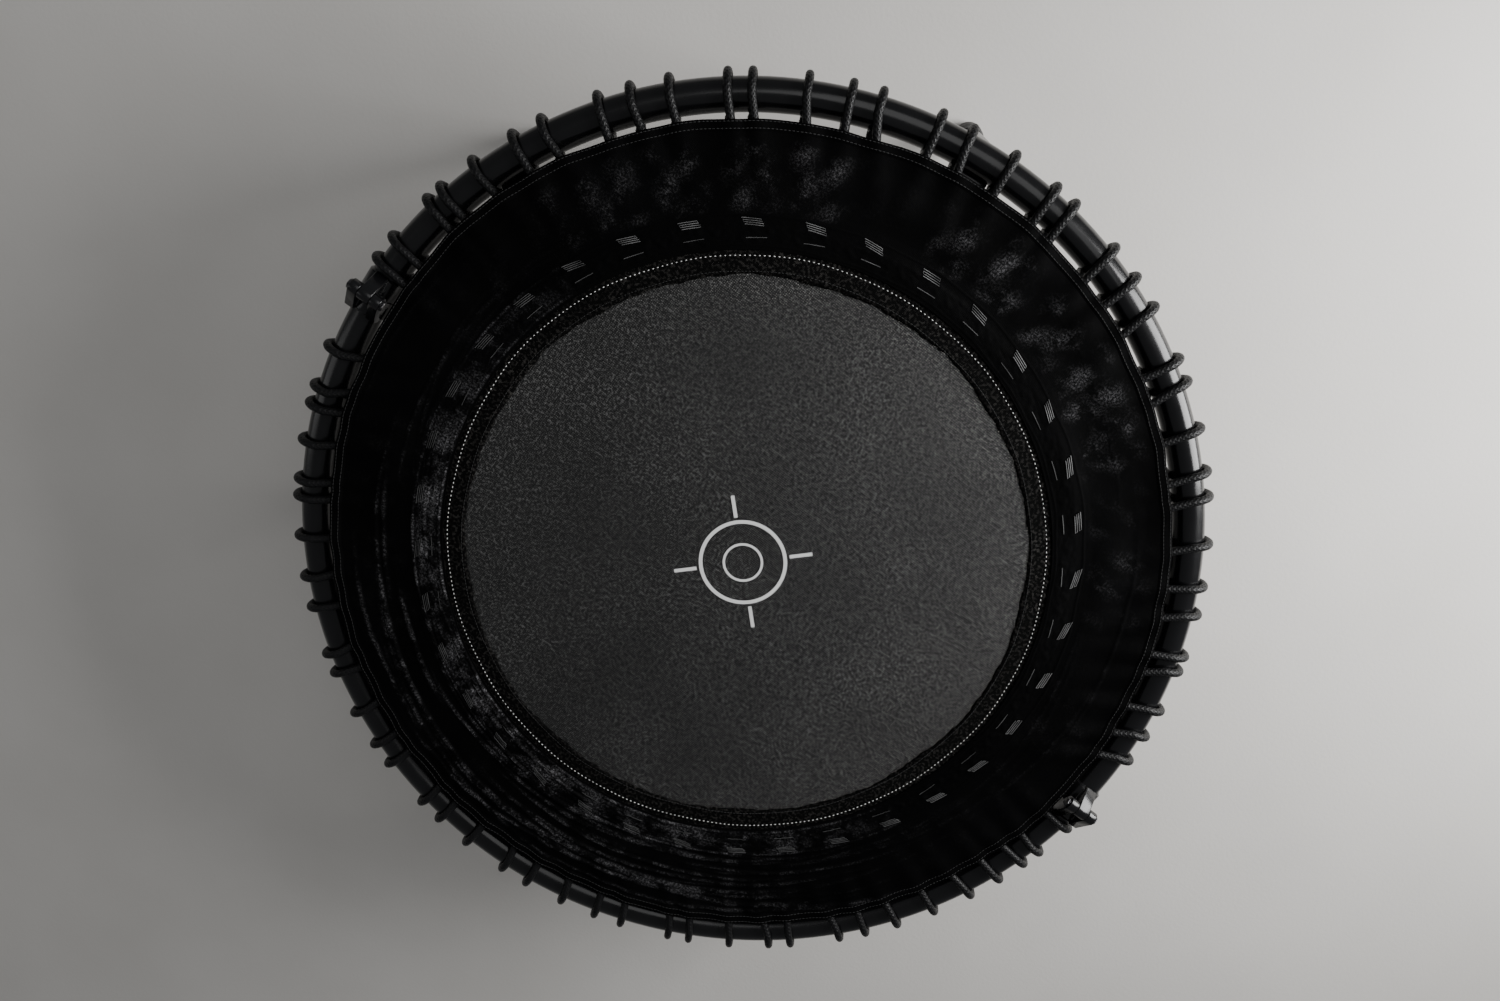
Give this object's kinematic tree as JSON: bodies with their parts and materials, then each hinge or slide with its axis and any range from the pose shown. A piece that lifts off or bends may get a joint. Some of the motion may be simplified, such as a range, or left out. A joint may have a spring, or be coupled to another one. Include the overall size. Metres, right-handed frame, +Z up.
{
  "type": "mini trampoline",
  "caption": "Round half-folding fitness trampoline: steel tube ring, see-through mat on elastic cords under a fabric skirt, and splayed legs with rubber feet and hand knobs.",
  "frame": {"origin": "on the floor, under the middle of the mat", "axes": "+Z up, +X along the fold line towards the right-hand hinge, +Y towards the half that folds over"},
  "size_m": [1.1409, 1.2242, 0.3577],
  "materials": {
    "frame_paint": "gloss black powder coat",
    "pin_steel": "blackened steel, satin",
    "foot_rubber": "matt dark grey rubber",
    "knob_plastic": "fine-grained black moulding",
    "cord_cover": "braided black cover",
    "mat_mesh": "see-through woven black mesh",
    "skirt_fabric": "plain-woven black cloth with a low sheen",
    "thread_white": "white and grey sewing thread",
    "print_white": "matt white screen print"
  },
  "bodies": {
    "front_half": {"frame_half_front": "frame_paint", "mat_half_front": "mat_mesh", "hinge_pin_left": "pin_steel", "hinge_pin_right": "pin_steel", "leg_4": "frame_paint", "leg_5": "frame_paint", "leg_6": "frame_paint", "foot_4": "foot_rubber", "foot_5": "foot_rubber", "foot_6": "foot_rubber", "cord_19": "cord_cover", "cord_20": "cord_cover", "cord_21": "cord_cover", "cord_22": "cord_cover", "cord_23": "cord_cover", "cord_24": "cord_cover", "cord_25": "cord_cover", "cord_26": "cord_cover", "cord_27": "cord_cover", "cord_28": "cord_cover", "cord_29": "cord_cover", "cord_30": "cord_cover", "cord_31": "cord_cover", "cord_32": "cord_cover", "cord_33": "cord_cover", "cord_34": "cord_cover", "cord_35": "cord_cover", "cord_36": "cord_cover"},
    "back_half": {"frame_half_back": "frame_paint", "mat_half_back": "mat_mesh", "leg_1": "frame_paint", "leg_2": "frame_paint", "leg_3": "frame_paint", "foot_1": "foot_rubber", "foot_2": "foot_rubber", "foot_3": "foot_rubber", "cord_01": "cord_cover", "cord_02": "cord_cover", "cord_03": "cord_cover", "cord_04": "cord_cover", "cord_05": "cord_cover", "cord_06": "cord_cover", "cord_07": "cord_cover", "cord_08": "cord_cover", "cord_09": "cord_cover", "cord_10": "cord_cover", "cord_11": "cord_cover", "cord_12": "cord_cover", "cord_13": "cord_cover", "cord_14": "cord_cover", "cord_15": "cord_cover", "cord_16": "cord_cover", "cord_17": "cord_cover", "cord_18": "cord_cover"},
    "knob_1": {"leg_knob_1": "knob_plastic"},
    "knob_2": {"leg_knob_2": "knob_plastic"},
    "knob_3": {"leg_knob_3": "knob_plastic"},
    "knob_4": {"leg_knob_4": "knob_plastic"},
    "knob_5": {"leg_knob_5": "knob_plastic"},
    "knob_6": {"leg_knob_6": "knob_plastic"}
  },
  "joints": [
    {"name": "fold_hinge", "type": "hinge", "parent": "front_half", "child": "back_half", "pos_m": [0, 0, 0.349], "axis": [1, 0, 0], "range_deg": [0, 180]},
    {"name": "knob_1_turn", "type": "hinge", "parent": "back_half", "child": "knob_1", "pos_m": [0.39932, 0.30091, 0.2616], "axis": [0, 0, 1], "continuous": true},
    {"name": "knob_2_turn", "type": "hinge", "parent": "back_half", "child": "knob_2", "pos_m": [-0.06094, 0.49627, 0.2616], "axis": [0, 0, 1], "continuous": true},
    {"name": "knob_3_turn", "type": "hinge", "parent": "back_half", "child": "knob_3", "pos_m": [-0.46025, 0.19537, 0.2616], "axis": [0, 0, 1], "continuous": true},
    {"name": "knob_4_turn", "type": "hinge", "parent": "front_half", "child": "knob_4", "pos_m": [-0.39932, -0.30091, 0.2616], "axis": [0, 0, 1], "continuous": true},
    {"name": "knob_5_turn", "type": "hinge", "parent": "front_half", "child": "knob_5", "pos_m": [0.06094, -0.49627, 0.2616], "axis": [0, 0, 1], "continuous": true},
    {"name": "knob_6_turn", "type": "hinge", "parent": "front_half", "child": "knob_6", "pos_m": [0.46025, -0.19537, 0.2616], "axis": [0, 0, 1], "continuous": true}
  ]
}
